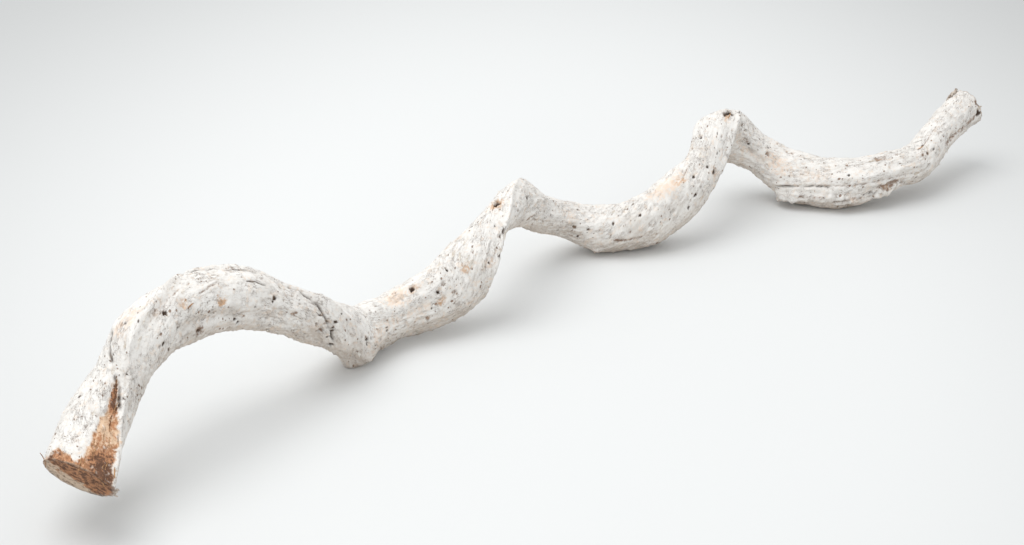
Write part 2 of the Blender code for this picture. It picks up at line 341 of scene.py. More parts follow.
TORN_SHADES = (  # station number, side, size in metres, lighter or darker
    (1.90, 63, 0.0045, -0.75),
    (1.50, 35, 0.0050, -0.75),
    (1.55, 52, 0.0045, -0.20),
    (1.05, 50, 0.0110, 0.42),
    (0.95, 25, 0.0040, 0.25),
    (0.35, 62, 0.0060, 0.12),
    (0.20, 44, 0.0070, -0.34),
    (0.05, 22, 0.0090, -0.55),
    (0.10, 128, 0.0070, -0.10),
    (0.05, 145, 0.0050, -0.35),
)
TORN_LOWER_EDGE: Line = (  # station number, degrees round the root
    (0.0, 12), (0.35, 16), (0.67, 19), (1.0, 23), (1.2, 27), (1.41, 31), (1.6, 42), (1.75, 50), (2.0, 66),
)
TORN_UPPER_EDGE: Line = (
    (0.0, 84), (0.22, 72), (0.5, 70), (0.93, 66), (1.2, 60), (1.35, 57), (1.67, 61), (2.0, 68),
)
TORN_RIM: Line = (  # degrees round the root, how many stations the bare rim reaches up it
    (82, 0.02), (98, 0.13), (112, 0.22), (126, 0.26), (150, 0.12), (165, 0.02),
)

TWIG_STEPS = (  # metres from the place in the bark where it stands
    (-0.003, 0.0, -0.004),
    (0.0, 0.0, 0.0005),
    (0.003, -0.0008, 0.003),
    (0.005, -0.0012, 0.0045),
    (0.0065, -0.0016, 0.008),
)
SPLINTER_STEPS = ((0.003, 0.0, 0.003), (0.0, 0.0, 0.0), (0.0008, -0.0005, -0.0014), (0.0018, -0.001, -0.002))


class Noise:
    """Smooth random values in space, the same on every run."""

    gain: float = 1.7  # brings the values to about -1 to 1
    layer_shift: float = 17.0  # keeps the layers apart

    def __init__(self, seed: int) -> None:
        """Shuffles the lattice.

        Args:
            seed: picks the pattern.
        """
        generator = np.random.default_rng(seed)
        self.order = np.tile(generator.permutation(256), 3)
        directions = generator.normal(size=(256, 3))
        self.directions = directions / np.linalg.norm(directions, axis=1, keepdims=True)

    def at(self, points: np.ndarray) -> np.ndarray:
        """Reads the noise.

        Args:
            points: positions, one lattice cell to the unit, shape (..., 3).

        Returns:
            Values from about -1 to 1.
        """
        cell = np.floor(points).astype(int)
        inside = points - cell
        cell &= 255
        ease = inside**3 * (inside * (inside * 6 - 15) + 10)
        total = np.zeros(points.shape[:-1])
        for corner in np.ndindex(2, 2, 2):
            x, y, z = (cell[..., k] + corner[k] for k in range(3))
            slope = self.directions[self.order[self.order[self.order[x] + y] + z]]
            weight = np.prod(np.where(corner, ease, 1 - ease), axis=-1)
            total += weight * np.sum(slope * (inside - corner), axis=-1)
        return total * self.gain

    def layered(self, points: np.ndarray, layers: int, fall: float = 0.5) -> np.ndarray:
        """Adds finer and weaker layers of the noise.

        Args:
            points: positions for the coarsest layer.
            layers: how many layers.
            fall: height of each layer over the one before.

        Returns:
            Values from about -1 to 1.
        """
        total, height, reach = 0.0, 1.0, 0.0
        for layer in range(layers):
            total = total + height * self.at(points * 2**layer + self.layer_shift * layer)
            reach += height
            height *= fall
        return total / reach


def ease_between(low: float, high: float, value: np.ndarray) -> np.ndarray:
    """A smooth step from 0 at low to 1 at high."""
    share = np.clip((value - low) / (high - low), 0, 1)
    return share * share * (3 - 2 * share)


def turn_between(first: np.ndarray, second: np.ndarray | float) -> np.ndarray:
    """first - second in radians, brought to between -pi and pi."""
    return (first - second + math.pi) % (2 * math.pi) - math.pi


def facing_up(points: np.ndarray) -> np.ndarray:
    """How much a surface faces up.

    Args:
        points: a grid of rings, shape (rings, sides, 3).

    Returns:
        -1 to 1 for each point.
    """
    along = np.gradient(points, axis=0)
    around = (np.roll(points, -1, 1) - np.roll(points, 1, 1)) / 2
    normal = np.cross(along, around)
    return normal[..., 2] / np.maximum(np.linalg.norm(normal, axis=-1), 1e-12)


def tube_faces(rings: int, sides: int) -> np.ndarray:
    """The faces between the rings of a tube.

    Args:
        rings: how many rings.
        sides: points in each ring.

    Returns:
        Four vertex numbers for each face.
    """
    index = np.arange(rings * sides).reshape(rings, sides)
    start, end = index[:-1], index[1:]
    return np.stack([start, end, np.roll(end, -1, 1), np.roll(start, -1, 1)], axis=-1).reshape(-1, 4)


def put_in_scene(name: str, data: bpy.types.ID) -> bpy.types.Object:
    """Makes an object and links it.

    Args:
        name: what to call it.
        data: its mesh, light or camera.

    Returns:
        The object.
    """
    made = bpy.data.objects.new(name, data)
    bpy.context.scene.collection.objects.link(made)
    return made


@dataclass
class RootForm:
    """The smooth form of the root: its centre line, its sections and its slanting sawn end."""

    rings: int = 900
    sides: int = 108
    squareness: float = 2.3
    edge_height: float = 0.0045
    edge_width: float = 0.008
    edge_peak: float = 1.5
    edge_end: float = 0.5
    cut_facing: Triple = (-0.80, -0.31, -0.52)
    cut_reach: float = 0.08
    worn: float = 0.001  # how much of the three resting places is worn flat
    knot_spacing: float = 0.04  # metres that a knot takes one station for
    trials: int = 6000
    numbers: np.ndarray = field(init=False)
    travel: np.ndarray = field(init=False)
    centres: np.ndarray = field(init=False)
    angles: np.ndarray = field(init=False)
    turned: np.ndarray = field(init=False)
    radius: np.ndarray = field(init=False)
    across: np.ndarray = field(init=False)
    upward: np.ndarray = field(init=False)

    def __post_init__(self) -> None:
        """Lays the sections at even steps along the centre line."""
        table = np.array([station.row() for station in STATIONS])
        last = len(STATIONS) - 1
        trial = np.linspace(0, last, self.trials)
        steps = np.linalg.norm(np.diff(self.spline(table[:, :3], trial), axis=0), axis=1)
        walked = np.concatenate(([0], np.cumsum(steps)))
        self.travel = np.linspace(0, walked[-1], self.rings)
        self.numbers = np.interp(self.travel, walked, trial)
        run = self.spline(table, self.numbers)
        self.centres = run[:, :3]
        tangents = np.gradient(self.centres, axis=0)
        tangents /= np.linalg.norm(tangents, axis=1, keepdims=True)
        front = np.cross(tangents, (0.0, 0.0, 1.0))
        front /= np.linalg.norm(front, axis=1, keepdims=True)
        self.across, self.upward = front, np.cross(front, tangents)
        self.turned = np.tile(np.arange(self.sides) * 2 * math.pi / self.sides, (self.rings, 1))
        self.angles = run[:, 5:] * DEG + self.turned
        self.radius = self.section_radius(run)

    @staticmethod
    def spline(values: np.ndarray, at: np.ndarray) -> np.ndarray:
        """Reads a Catmull-Rom curve.

        Args:
            values: one row for each station.
            at: station numbers to read it at.

        Returns:
            One row for each number.
        """
        padded = np.vstack([2 * values[0] - values[1], values, 2 * values[-1] - values[-2]])
        i = np.minimum(at.astype(int), len(values) - 2)
        t = (at - i)[:, None]
        p0, p1, p2, p3 = (padded[i + k] for k in range(4))
        bend = (2 * p0 - 5 * p1 + 4 * p2 - p3) * t**2 + (3 * p1 - p0 - 3 * p2 + p3) * t**3
        return 0.5 * (2 * p1 + (p2 - p0) * t + bend)

    def section_radius(self, run: np.ndarray) -> np.ndarray:
        """Distance from the centre line to the smooth surface.

        Args:
            run: the splined station values of every ring.

        Returns:
            One value for each point of the grid.
        """
        half_wide, half_thick = run[:, 3, None] / 2, run[:, 4, None] / 2
        power = self.squareness
        wide_part = np.abs(np.cos(self.turned) / half_wide) ** power
        thick_part = np.abs(np.sin(self.turned) / half_thick) ** power
        radius = (wide_part + thick_part) ** (-1 / power)
        base = radius.copy()
        numbers = self.numbers[:, None]
        fade = np.clip(np.minimum(numbers, numbers[-1] - numbers) + self.edge_end, 0, 1)
        across = np.abs(turn_between(self.turned, 0.0)) * base / self.edge_width
        radius += self.edge_height * fade * np.clip(1 - across, 0, 1) ** self.edge_peak
        for knot in KNOTS:
            along = (numbers - knot.station) * self.knot_spacing
            side = turn_between(self.angles, knot.side * DEG) * base
            radius += knot.height * np.exp(-(along**2 + side**2) / knot.radius**2)
        return radius

    def walked_to(self, number: np.ndarray | float) -> np.ndarray | float:
        """Distance along the centre line to a station number."""
        return np.interp(number, self.numbers, self.travel)

    def surface(self, lift: np.ndarray | float) -> np.ndarray:
        """Points of the grid, raised off the smooth form.

        Args:
            lift: metres outwards, for each point.

        Returns:
            Positions, shape (rings, sides, 3).
        """
        radius = self.radius + lift
        outwards = (
            np.cos(self.angles)[:, :, None] * self.across[:, None, :]
            + np.sin(self.angles)[:, :, None] * self.upward[:, None, :]
        )
        points = self.centres[:, None, :] + radius[:, :, None] * outwards
        along = self.centres[1] - self.centres[0]
        along /= np.linalg.norm(along)
        facing = np.array(self.cut_facing) / np.linalg.norm(self.cut_facing)
        slide = (self.centres[0] - points[0]) @ facing / (along @ facing)
        lean = np.clip(1 - self.travel / self.cut_reach, 0, 1)
        return points + lean[:, None, None] * slide[None, :, None] * along

    def place(self, lift: np.ndarray) -> np.ndarray:
        """Sets the raised surface down where the solid lies.

        Args:
            lift: metres outwards, for each point.

        Returns:
            Positions in the row frame, nothing below the floor.
        """
        smooth, rough = self.surface(0.0), self.surface(lift)
        low, high = (np.array(corner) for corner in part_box(CAD_NODE))
        shift = (low + high) / 2 - (smooth.min((0, 1)) + smooth.max((0, 1))) / 2
        rough[..., :2] += shift[:2]
        rough[..., 2] = np.maximum(rough[..., 2] - self.worn, 0)
        return rough


@dataclass
class Bark:
    """The relief and the colour masks of the bark, laid on the form's grid."""

    form: RootForm
    cord_height: float = 0.00045
    fine_cord_height: float = 0.00025
    lump_height: float = 0.0013
    fissure_depth: float = 0.0009
    crumb_height: float = 0.0008
    plate_height: float = 0.00035
    cord_grain: Triple = (10, 150, 150)  # cells to the metre along and across the strand
    fine_cord_grain: Triple = (38, 400, 400)
    fissure_grain: Triple = (34, 290, 290)
    plate_grain: Triple = (48, 105, 105)
    lump_grain: float = 42
    crumb_grain: float = 230
    fissure_width: float = 0.11
    plates_deep: float = 3.2
    painted_over: float = 0.75  # how much of the small relief a thick coat fills
    unrolled: float = 0.020  # radius that the grain is read at
    holes: int = 460
    hole_hearts: int = 34
    hole_size: float = 0.00078
    hole_spread: tuple[float, float] = (0.011, 26)  # metres along and degrees round
    seed: int = 11
    lift: np.ndarray = field(init=False)
    grain_lift: np.ndarray = field(init=False)
    fine: np.ndarray = field(init=False)
    torn: np.ndarray = field(init=False)
    tone: np.ndarray = field(init=False)
    masks: dict[Tint, np.ndarray] = field(init=False)
    grain: np.ndarray = field(init=False)

    def __post_init__(self) -> None:
        """Starts with a bare form, then lays every kind of mark."""
        turned = self.form.turned
        self.noise = Noise(self.seed)
        self.lift = np.zeros(turned.shape)
        self.masks = {tint: np.zeros(turned.shape) for tint in Tint}
        travel = np.broadcast_to(self.form.travel[:, None], turned.shape)
        front, up = self.unrolled * np.cos(turned), self.unrolled * np.sin(turned)
        self.grain = np.stack([travel, front, up], axis=-1)
        self.lay_grain()
        for strand in STRANDS:
            self.lay_strand(strand)
        for spot in SPOTS:
            self.lay_spot(spot)
        self.lift -= self.painted_over * self.grain_lift * self.masks[Tint.PAINT]
        self.bore_holes()
        self.tear_end()

    def lay_grain(self) -> None:
        """Cords, lumps, plates, fissures and crumbs that cover the whole root."""
        noise, grain, smooth = self.noise, self.grain, self.form.surface(0.0)
        wander = noise.layered(smooth * 70 + 90, 2)[..., None]
        cords = noise.layered(grain * self.cord_grain, 2)
        fine_cords = noise.at(grain * self.fine_cord_grain + 40 + 0.5 * wander)
        lumps = noise.layered(smooth * self.lump_grain + 7, 2)
        cut = np.abs(noise.at(grain * self.fissure_grain + 60 + 0.9 * wander))
        worn = noise.at(smooth * 30 + 3)
        fissure = np.clip(1 - cut / self.fissure_width, 0, 1) ** 1.5 * ease_between(-0.10, 0.35, worn)
        crumbs = noise.layered(smooth * self.crumb_grain + 21, 3, 0.8)
        plates = self.plates_deep * noise.layered(grain * self.plate_grain + 130 + 0.4 * wander, 3, 0.6)
        step = plates - np.floor(plates)
        terraces = np.floor(plates) + ease_between(0.70, 1.0, step)
        lifted = ease_between(-0.1, 0.3, noise.at(smooth * 36 + 70))
        lip = np.clip(1 - np.abs(step - 0.80) / 0.16, 0, 1) * lifted
        ridged = 1 - np.abs(cords) * 2.2
        below = ease_between(0.0, -0.8, facing_up(smooth))
        self.lift += self.cord_height * (0.9 * ridged - 0.45) + self.fine_cord_height * fine_cords
        self.lift += self.lump_height * lumps * (1 + 0.5 * below) - self.fissure_depth * fissure
        self.lift += self.crumb_height * crumbs * (1 + 0.8 * below) + self.plate_height * terraces
        self.grain_lift = self.lift.copy()
        self.masks[Tint.BROWN] += np.maximum(0.6 * fissure, 0.34 * lip) * (0.55 + 0.45 * below)
        self.fine = 0.5 + 0.22 * fine_cords + 0.30 * crumbs - 0.6 * fissure + 0.12 * ridged - 0.25 * lip

    def rings_between(self, low: float, high: float) -> slice:
        """The rings between two distances along the root."""
        first, last = np.searchsorted(self.form.travel, (low, high))
        return slice(int(first), int(last))

    def measure(self, strand: Strand, rows: slice) -> tuple[np.ndarray, np.ndarray, np.ndarray]:
        """Finds where the points of the grid lie beside a mark's line.

        Args:
            strand: the mark.
            rows: the rings it can reach.

        Returns:
            Metres from the line, whether on its clockwise side, and the share of the line walked by then.
        """
        numbers, sides = np.array(strand.line).T
        walked, turns = self.form.walked_to(numbers), sides * DEG
        if walked[0] > walked[-1]:
            walked, turns = walked[::-1], turns[::-1]
        travel, angles, radius = self.form.travel[rows, None], self.form.angles[rows], self.form.radius[rows]
        nearest = np.full(radius.shape, 1.0)
        clockwise, share = np.zeros(radius.shape, bool), np.zeros(radius.shape)
        lengths = np.hypot(np.diff(walked), np.diff(turns) * self.unrolled)
        for k, length in enumerate(lengths):
            run_along, run_side = walked[k + 1] - walked[k], (turns[k + 1] - turns[k]) * radius
            along, side = travel - walked[k], turn_between(angles, turns[k]) * radius
            part = np.clip((along * run_along + side * run_side) / (run_along**2 + run_side**2), 0, 1)
            along, side = along - part * run_along, side - part * run_side
            distance = np.hypot(along, side)
            closer = distance < nearest
            nearest = np.where(closer, distance, nearest)
            clockwise = np.where(closer, run_along * side < run_side * along, clockwise)
            share = np.where(closer, (lengths[:k].sum() + part * length) / lengths.sum(), share)
        return nearest, clockwise, share

    def lay_strand(self, strand: Strand) -> None:
        """Presses one long mark into the relief and its masks.

        Args:
            strand: the mark.
        """
        ends = sorted(float(self.form.walked_to(strand.line[k][0])) for k in (0, -1))
        rows = self.rings_between(ends[0] - 3 * strand.width, ends[1] + 3 * strand.width)
        nearest, clockwise, share = self.measure(strand, rows)
        grain = self.grain[rows]
        width = strand.width * (1 + strand.ragged * self.noise.at(grain * 260 + 5))
        fade = ease_between(0, 0.12, share) * ease_between(0, 0.12, 1 - share)
        fade = np.maximum(fade, 0.15) * (1 + strand.ragged * self.noise.at(grain * 120 + 9))
        reach = np.clip(1 - nearest / width, 0, 1)
        shape = ease_between(0, 1, reach)
        crumbly = 1.0
        if strand.profile is Profile.SHARP:
            shape = reach**1.3
        elif strand.profile is Profile.STEP:
            shape = np.where(clockwise, shape, ease_between(0, 0.35, reach))
            crumbly = 1 + 0.8 * self.noise.layered(grain * 340 + 65, 3, 0.7)
        self.lift[rows] += strand.height * shape * fade * crumbly
        if strand.tint:
            mask = self.masks[strand.tint]
            mask[rows] = np.maximum(mask[rows], strand.strength * shape * np.clip(fade, 0, 1))

    def lay_spot(self, spot: Spot) -> None:
        """Presses one round mark into the relief and its masks.

        Args:
            spot: the mark.
        """
        walked = float(self.form.walked_to(spot.station))
        margin = 2.2 * spot.radius * max(spot.stretch, 1)
        rows = self.rings_between(walked - margin, walked + margin)
        along = (self.form.travel[rows, None] - walked) / spot.stretch
        side = turn_between(self.form.angles[rows], spot.side * DEG) * self.form.radius[rows]
        grain = self.grain[rows]
        ragged = 1 + 0.65 * self.noise.layered(grain * 420 + 31, 2, 0.8)
        distance = np.hypot(along, side) / (spot.radius * ragged)
        swells = spot.height > 0.001
        crumbly = 1 + 0.9 * self.noise.layered(grain * 380 + 83, 3, 0.7) if swells else 1.0
        self.lift[rows] += spot.height * (1 - ease_between(0.45, 1.1, distance)) * crumbly
        if spot.tint:
            mask = self.masks[spot.tint]
            soft = 1.5 if spot.tint in (Tint.PEACH, Tint.RUST) else 1.15
            mask[rows] = np.maximum(mask[rows], spot.strength * (1 - ease_between(0.5, soft, distance)))

    def bore_holes(self) -> None:
        """Insect holes and flecks, scattered singly and in clusters."""
        generator = np.random.default_rng(self.seed + 1)
        length = self.form.travel[-1]
        hearts = generator.uniform((0.05, 0), (length - 0.02, 360), (self.hole_hearts, 2))
        for index in range(self.holes):
            if index % 2:
                heart = hearts[generator.integers(len(hearts))]
                walked, side = heart + generator.normal(size=2) * self.hole_spread
            else:
                walked, side = generator.uniform((0.02, 0), (length - 0.005, 360))
            number = float(np.interp(walked, self.form.travel, self.form.numbers))
            size = float(np.clip(generator.lognormal(math.log(self.hole_size), 0.40), 0.0005, 0.0019))
            tint = Tint.DARK if generator.random() < 0.72 else Tint.BROWN
            stretch = float(generator.uniform(0.9, 1.7))
            strength = float(generator.uniform(0.45, 0.95))
            hole = Spot("insect hole", number, float(side), size * 1.2, -1.4 * size, tint, strength, stretch)
            self.lay_spot(hole)

    def tear_end(self) -> None:
        """Takes the bark off the torn wedge of wood at the sawn end."""
        rows = slice(0, int(np.searchsorted(self.form.numbers, 2.2)))
        numbers = self.form.numbers[rows][:, None]
        angles = (self.form.angles[rows] / DEG + 120) % 360 - 120
        ragged = self.noise.layered(self.grain[rows] * (110, 240, 240) + 71, 3, 0.6)
        low = np.interp(numbers, *np.array(TORN_LOWER_EDGE).T) + 5 * ragged
        high = np.interp(numbers, *np.array(TORN_UPPER_EDGE).T) + 7 * ragged
        main = ease_between(-3, 6, angles - low) * ease_between(-5, 8, high - angles)
        main = main * ease_between(0, 0.2, 2.05 - numbers)
        reach = np.interp(angles, *np.array(TORN_RIM).T) + 0.10 * ragged
        rim = ease_between(-0.03, 0.05, reach - numbers)
        rim = rim * ease_between(78, 86, angles) * ease_between(0, 8, 166 - angles)
        inside = np.maximum(main, rim)
        smear = self.noise.layered(self.grain[rows] * (70, 190, 190) + 57, 3, 0.6)
        inside = inside * (1 - 0.7 * ease_between(0.30, 0.44, smear) * ease_between(0.1, 0.4, numbers))
        self.torn = np.zeros_like(self.lift)
        self.torn[rows] = inside
        smooth = self.form.surface(0.0)
        streaks = self.noise.layered(self.grain * (40, 330, 330) + 33, 3, 0.65)
        blotch = self.noise.layered(smooth * 150 + 44, 3, 0.6)
        self.tone = 0.52 + 0.14 * streaks + 0.44 * blotch
        for number, side, size, change in TORN_SHADES:
            along = self.form.travel[:, None] - self.form.walked_to(number)
            across = turn_between(self.form.angles, side * DEG) * self.form.radius
            self.tone += change * np.exp(-((along / 1.5) ** 2 + across**2) / size**2)
        self.tone = np.clip(self.tone, 0, 1)
        self.lift += self.torn * (-0.0018 + 0.0008 * streaks + 0.0009 * blotch)
        for tint in Tint:
            self.masks[tint] *= 1 - self.torn

    def place_on_form(self) -> np.ndarray:
        """The rough surface, where the root lies."""
        return self.form.place(self.lift)

    def stick_out(self, number: float, side: float, steps: tuple[Triple, ...]) -> tuple[Triple, ...]:
        """A path that starts in the bark.

        Args:
            number: station number of its foot.
            side: degrees round the root.
            steps: offsets from that point of the surface.

        Returns:
            The path's points.
        """
        ring = int(np.abs(self.form.numbers - number).argmin())
        spoke = int(np.abs(turn_between(self.form.angles[ring], side * DEG)).argmin())
        foot = self.place_on_form()[ring, spoke]
        return tuple(tuple(float(value) for value in foot + np.array(step)) for step in steps)


@dataclass(frozen=True)
class Bench:
    """Lays out the nodes of one tree."""

    tree: bpy.types.NodeTree

    def add(self, kind: str, **settings: object) -> bpy.types.Node:
        """Adds a node.

        Args:
            kind: Blender's name of it.
            settings: its options.

        Returns:
            The node.
        """
        node = self.tree.nodes.new(kind)
        for name, value in settings.items():
            setattr(node, name, value)
        return node

    def join(self, source: Socket, target: Socket) -> None:
        """Links two sockets."""
        self.tree.links.new(source, target)

    def feed(self, value: object, target: Socket) -> None:
        """Links a socket, or sets the target's own value.

        Args:
            value: socket or plain value.
            target: where it goes.
        """
        if isinstance(value, Socket):
            self.join(value, target)
        else:
            target.default_value = value

    def reckon(self, operation: str, first: object, second: object = 0.0) -> Socket:
        """A Math node.

        Args:
            operation: Blender's name of it.
            first: socket or number.
            second: socket or number.

        Returns:
            The result.
        """
        node = self.add("ShaderNodeMath", operation=operation)
        self.feed(first, node.inputs[0])
        self.feed(second, node.inputs[1])
        return node.outputs[0]

    def weigh(self, *parts: tuple[Socket, float]) -> Socket:
        """Adds sockets up.

        Args:
            parts: each socket and what it is multiplied by.

        Returns:
            The sum.
        """
        total = None
        for value, weight in parts:
            part = value if weight == 1 else self.reckon("MULTIPLY", value, weight)
            total = part if total is None else self.reckon("ADD", total, part)
        return total

    def blend(self, share: object, first: object, second: object) -> Socket:
        """Mixes two colours.

        Args:
            share: 0 gives the first, 1 the second.
            first: socket or colour.
            second: socket or colour.

        Returns:
            The mixed colour.
        """
        node = self.add("ShaderNodeMix", data_type="RGBA")
        self.feed(share, node.inputs[0])
        for value, target in ((first, node.inputs[6]), (second, node.inputs[7])):
            self.feed(value if isinstance(value, Socket) else (*value, 1), target)
        return node.outputs[2]

    def span(self, value: Socket, low: float, high: float, start: float = 0.0, end: float = 1.0) -> Socket:
        """Stretches a range of values onto another, with smooth ends.

        Args:
            value: socket to read.
            low: where the range starts.
            high: where it ends.
            start: result at low.
            end: result at high.

        Returns:
            The result.
        """
        node = self.add("ShaderNodeMapRange", interpolation_type="SMOOTHSTEP")
        self.feed(value, node.inputs[0])
        for index, number in enumerate((low, high, start, end), 1):
            node.inputs[index].default_value = number
        return node.outputs[0]

    def noise(self, vector: Socket, scale: float, detail: float, rough: float) -> Socket:
        """A Noise Texture's value.

        Args:
            vector: where it is read.
            scale: cells to the unit.
            detail: how many finer layers.
            rough: strength of the finer layers.

        Returns:
            The value, from 0 to 1.
        """
        node = self.add("ShaderNodeTexNoise")
        self.join(vector, node.inputs["Vector"])
        node.inputs["Scale"].default_value = scale
        node.inputs["Detail"].default_value = detail
        node.inputs["Roughness"].default_value = rough
        return node.outputs[0]

    def stretched(self, vector: Socket, scale: Triple, shift: Triple = (0, 0, 0)) -> Socket:
        """Scales a vector differently along each axis.

        Args:
            vector: what to scale.
            scale: one factor for each axis.
            shift: added after that.

        Returns:
            The new vector.
        """
        node = self.add("ShaderNodeMapping")
        self.join(vector, node.inputs["Vector"])
        node.inputs["Scale"].default_value = scale
        node.inputs["Location"].default_value = shift
        return node.outputs[0]

    def reading(self, name: str, output: str = "Fac") -> Socket:
        """One of the piece's own attributes."""
        return self.add("ShaderNodeAttribute", attribute_name=name).outputs[output]

    def bumped(self, height: Socket, distance: float, strength: float) -> Socket:
        """Bends the normal by a height.

        Args:
            height: socket to read.
            distance: metres that a height of one stands for.
            strength: share of the bend.

        Returns:
            The normal.
        """
        node = self.add("ShaderNodeBump")
        node.inputs["Strength"].default_value = strength
        node.inputs["Distance"].default_value = distance
        self.join(height, node.inputs["Height"])
        return node.outputs[0]


def fresh_material(name: str) -> tuple[bpy.types.Material, Bench, bpy.types.Node]:
    """Makes a material with only its shader and output.

    Args:
        name: what to call it.

    Returns:
        The material, its bench and its shader.
    """
    material = bpy.data.materials.new(name)
    material.use_nodes = True
    return material, Bench(material.node_tree), material.node_tree.nodes["Principled BSDF"]


@dataclass(frozen=True)
class LimedWood:
    """Whitewash brushed over weathered wood, thin in the fissures and rubbed through in places, with painted
    shade on the undersides.
    """

    clean: Colour = (0.865, 0.845, 0.81)
    dull: Colour = (0.72, 0.67, 0.61)
    grey: Colour = (0.56, 0.515, 0.465)
    # painted shade on the undersides, mixed with the beige of a thinner coat there
    under_shade_and_thin_coat: Colour = (0.56, 0.47, 0.39)
    peach: Colour = (0.86, 0.70, 0.57)
    rust: Colour = (0.62, 0.36, 0.18)
    bark: Colour = (0.255, 0.155, 0.10)
    pit: Colour = (0.060, 0.034, 0.020)
    torn_dark: Colour = (0.150, 0.075, 0.045)
    torn_rust: Colour = (0.50, 0.245, 0.125)
    torn_tan: Colour = (0.80, 0.58, 0.40)
    sawn: Colour = (0.66, 0.53, 0.41)
    gloss: float = 0.28
    relief: float = 0.0013
    relief_strength: float = 0.8
    ring_wave: float = 70  # radians of light and dark wood from the pith to the rim

    def dress(self, piece: bpy.types.Object) -> None:
        """Gives the piece this finish.

        Args:
            piece: the root, which carries the attributes the finish reads.
        """
        material, bench, shader = fresh_material("limed_wood")
        grain = bench.reading("grain", "Vector")
        place = bench.add("ShaderNodeTexCoord").outputs["Object"]
        along = bench.stretched(grain, (0.28, 1, 1))
        streak = bench.noise(along, 420, 4, 0.65)
        mottle = bench.noise(place, 34, 4, 0.6)
        grit = bench.noise(place, 620, 3, 0.7)
        fine = bench.reading("fine")
        coat = self.coat(bench, fine, streak, mottle, grit)
        coat, lines = self.fine_lines(bench, grain, place, coat)
        coat, specks = self.specks(bench, grain, coat)
        coat = self.stains(bench, coat, streak, place)
        coat = self.torn_wood(bench, coat, place, along)
        coat = self.sawn_faces(bench, coat, place)
        bench.join(coat, shader.inputs["Base Color"])
        bench.join(bench.span(grit, 0.3, 0.7, 0.74, 0.95), shader.inputs["Roughness"])
        shader.inputs["Specular IOR Level"].default_value = self.gloss
        height = bench.weigh((streak, 0.4), (grit, 0.8), (specks, -0.8), (lines, -0.5))
        bench.join(bench.bumped(height, self.relief, self.relief_strength), shader.inputs["Normal"])
        piece.data.materials.append(material)

    def coat(self, bench: Bench, fine: Socket, streak: Socket, mottle: Socket, grit: Socket) -> Socket:
        """The whitewash itself, turned warm beige on the undersides by painted shade and a thinner coat
        there.

        Args:
            bench: lays the nodes.
            fine: the bark's small relief.
            streak: noise along the grain.
            mottle: large soft noise.
            grit: small noise.

        Returns:
            Its colour.
        """
        worn = bench.weigh((streak, 0.5), (grit, 0.5))
        colour = bench.blend(bench.span(worn, 0.46, 0.68, 0.0, 0.72), self.clean, self.dull)
        colour = bench.blend(bench.span(mottle, 0.50, 0.72, 0.0, 0.40), colour, self.grey)
        colour = bench.blend(bench.span(fine, 0.34, 0.02, 0.0, 0.75), colour, self.dull)
        # Painted shade: faces that look down take the under colour, partly shade and partly a thinner coat.
        under_shade_and_thin_coat_share = bench.reckon("MULTIPLY", bench.reading("under"), bench.span(worn, 0.30, 0.60, 0.45, 1.0))
        colour = bench.blend(under_shade_and_thin_coat_share, colour, self.under_shade_and_thin_coat)
        return bench.blend(bench.reading("paint"), colour, self.clean)

    def fine_lines(self, bench: Bench, grain: Socket, place: Socket, colour: Socket) -> tuple[Socket, Socket]:
        """Hair cracks that wander along the grain.

        Args:
            bench: lays the nodes.
            grain: the vector along and round the root.
            place: Object coordinates.
            colour: what lies under them.

        Returns:
            The colour with the cracks, and their mask.
        """
        total = None
        for scale, stretch, thin in ((170, 0.34, 0.010), (330, 0.42, 0.013)):
            wander = bench.noise(bench.stretched(grain, (stretch, 1, 1)), scale, 4, 0.62)
            off = bench.reckon("ABSOLUTE", bench.reckon("SUBTRACT", wander, 0.5))
            line = bench.span(off, thin, 0.0)
            total = line if total is None else bench.reckon("MAXIMUM", total, line)
        where = bench.span(bench.noise(place, 75, 3, 0.6), 0.38, 0.60, 0.0, 0.66)
        share = bench.reckon("MULTIPLY", total, where)
        return bench.blend(share, colour, self.bark), share

    def specks(self, bench: Bench, grain: Socket, colour: Socket) -> tuple[Socket, Socket]:
        """Small dark specks, one in some of the cells of a pattern.

        Args:
            bench: lays the nodes.
            grain: the vector along and round the root.
            colour: what lies under them.

        Returns:
            The colour with specks, and the specks' mask.
        """
        total = None
        for scale, few, size, shift in ((170, 0.60, 0.16, 0.0), (330, 0.66, 0.20, 3.0)):
            cells = bench.add("ShaderNodeTexVoronoi")
            bench.join(bench.stretched(grain, (0.8, 1, 1), (shift, shift, 0)), cells.inputs["Vector"])
            cells.inputs["Scale"].default_value = scale
            pick = bench.add("ShaderNodeSeparateColor")
            bench.join(cells.outputs["Color"], pick.inputs[0])
            chosen = bench.reckon("GREATER_THAN", pick.outputs[0], few)
            reach = bench.reckon("MULTIPLY", bench.reckon("ADD", pick.outputs[1], 0.35), size)
            inside = bench.reckon("SUBTRACT", reach, cells.outputs["Distance"])
            dot = bench.reckon("MULTIPLY", bench.span(inside, 0.0, 0.05), chosen)
            total = dot if total is None else bench.reckon("MAXIMUM", total, dot)
        return bench.blend(bench.reckon("MULTIPLY", total, 0.85), colour, self.bark), total

